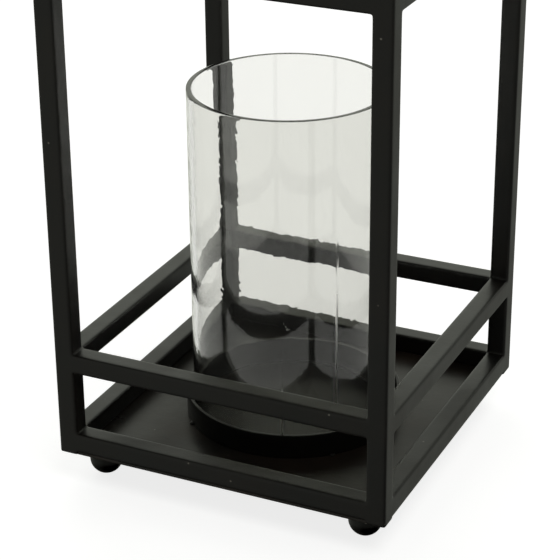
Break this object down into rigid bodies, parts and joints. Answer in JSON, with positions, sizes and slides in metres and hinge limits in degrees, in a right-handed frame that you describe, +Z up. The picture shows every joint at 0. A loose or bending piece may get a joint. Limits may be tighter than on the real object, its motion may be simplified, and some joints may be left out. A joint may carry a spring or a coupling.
{
  "type": "candle lantern",
  "caption": "Open-frame square candle lantern of black steel tube with a loose glass sleeve, ball feet and a swinging handle.",
  "frame": {"origin": "on the surface the ball feet stand on, under the middle of the cage", "axes": "+Z up, +X to the lantern's right seen from the front, front faces -Y, handle axis along X"},
  "size_m": [0.21, 0.213, 0.444],
  "materials": {
    "cage_paint": "satin black paint on square steel tube",
    "floor_paint": "satin black paint on steel sheet",
    "foot_paint": "satin black paint on steel balls",
    "collar_paint": "satin black paint on rolled steel strip",
    "lug_paint": "satin black paint on steel plate",
    "handle_paint": "satin black paint on round steel bar",
    "clear_glass": "clear drawn glass, flame-rounded rims"
  },
  "bodies": {
    "cage": {"post_front_left": "cage_paint", "post_front_right": "cage_paint", "post_back_left": "cage_paint", "post_back_right": "cage_paint", "bottom_rail_front": "cage_paint", "bottom_rail_back": "cage_paint", "bottom_rail_left": "cage_paint", "bottom_rail_right": "cage_paint", "middle_rail_front": "cage_paint", "middle_rail_back": "cage_paint", "middle_rail_left": "cage_paint", "middle_rail_right": "cage_paint", "top_rail_front": "cage_paint", "top_rail_back": "cage_paint", "top_rail_left": "cage_paint", "top_rail_right": "cage_paint", "floor_plate": "floor_paint", "glass_collar": "collar_paint", "ball_foot_front_left": "foot_paint", "ball_foot_front_right": "foot_paint", "ball_foot_back_left": "foot_paint", "ball_foot_back_right": "foot_paint", "handle_lug_left": "lug_paint", "handle_lug_right": "lug_paint"},
    "glass": {"glass_sleeve": "clear_glass"},
    "handle": {"carrying_handle": "handle_paint"}
  },
  "joints": [
    {"name": "glass_lift", "type": "slide", "parent": "cage", "child": "glass", "axis": [0, 0, 1], "range_m": [0, 0.08]},
    {"name": "handle_swing", "type": "hinge", "parent": "cage", "child": "handle", "pos_m": [0, 0, 0.3402], "axis": [1, 0, 0], "range_deg": [-94, 94]}
  ]
}
